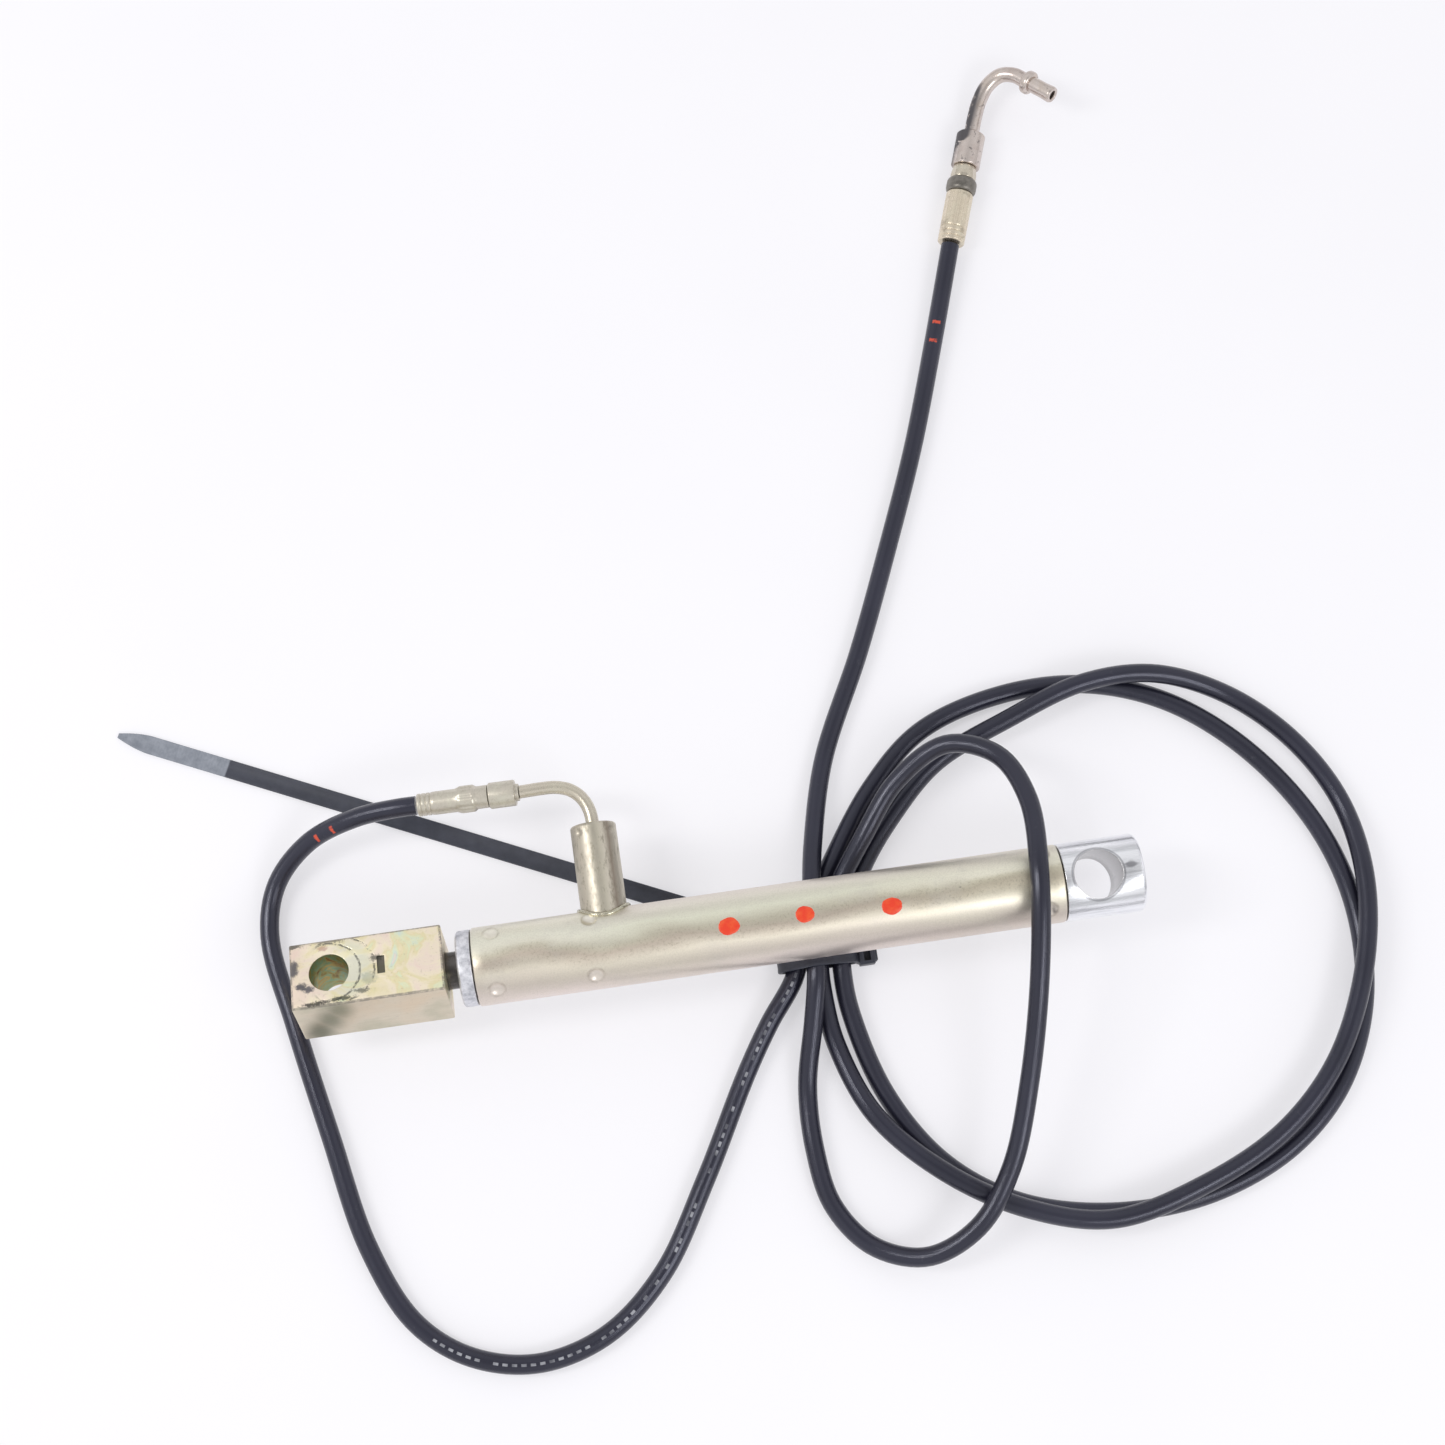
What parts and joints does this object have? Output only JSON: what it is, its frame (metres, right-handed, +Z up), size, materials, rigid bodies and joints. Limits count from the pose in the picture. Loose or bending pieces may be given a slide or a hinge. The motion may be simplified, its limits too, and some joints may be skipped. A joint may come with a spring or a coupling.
{
  "type": "small hydraulic cylinder with hose",
  "caption": "Slim hydraulic cylinder with a cross-bored eye at one end, a square bored block on its rod, a side port and a long thin hose, held together by a cable tie.",
  "frame": {"origin": "centre of the flat end face of the eye, on the barrel's axis", "axes": "+X along the barrel and out of the eye's end face, +Y the way the pressure port points, +Z up, along the eye's cross bore"},
  "size_m": [0.3236, 0.3322, 0.0375],
  "materials": {
    "zinc_yellow": "satin, yellow-passivated zinc with a faint pink and green sheen",
    "aluminium": "polished, with fine lines along its length",
    "gland_aluminium": "rough grey",
    "nickel": "warm nickel with dark stains",
    "steel": "plain steel",
    "dark_steel": "dark, smooth",
    "bronze": "plain bearing bronze",
    "rubber": "matt black",
    "hose_black": "smooth black polyamide hose",
    "nylon_black": "black moulded nylon"
  },
  "bodies": {
    "barrel": {"cylinder_tube": "zinc_yellow", "eye_plug": "aluminium", "plug_o_ring": "rubber", "gland": "gland_aluminium", "gland_o_ring": "rubber", "rod_seal": "rubber", "rod_wiper": "rubber", "guide_bush": "bronze", "port_sleeve": "zinc_yellow", "port_o_ring": "rubber", "port_retaining_ring": "steel", "near_pipe": "zinc_yellow", "near_collar": "zinc_yellow", "near_ferrule": "zinc_yellow", "hose": "hose_black", "far_ferrule": "zinc_yellow", "far_band": "dark_steel", "far_neck": "zinc_yellow", "far_collar": "nickel", "far_pipe": "nickel", "far_flange": "nickel", "far_nipple": "nickel", "cable_tie": "nylon_black"},
    "piston_seals": {"piston_seal": "rubber", "piston_guide_ring": "bronze"},
    "rod": {"rod": "dark_steel", "piston": "aluminium", "piston_nut": "steel", "rod_end_block": "zinc_yellow"}
  },
  "joints": [
    {"name": "rod_slide", "type": "slide", "parent": "barrel", "child": "piston_seals", "axis": [-1, 0, 0], "range_m": [0, 0.0765]},
    {"name": "rod_spin", "type": "hinge", "parent": "piston_seals", "child": "rod", "pos_m": [-0.19, 0, 0], "axis": [1, 0, 0], "continuous": true}
  ]
}
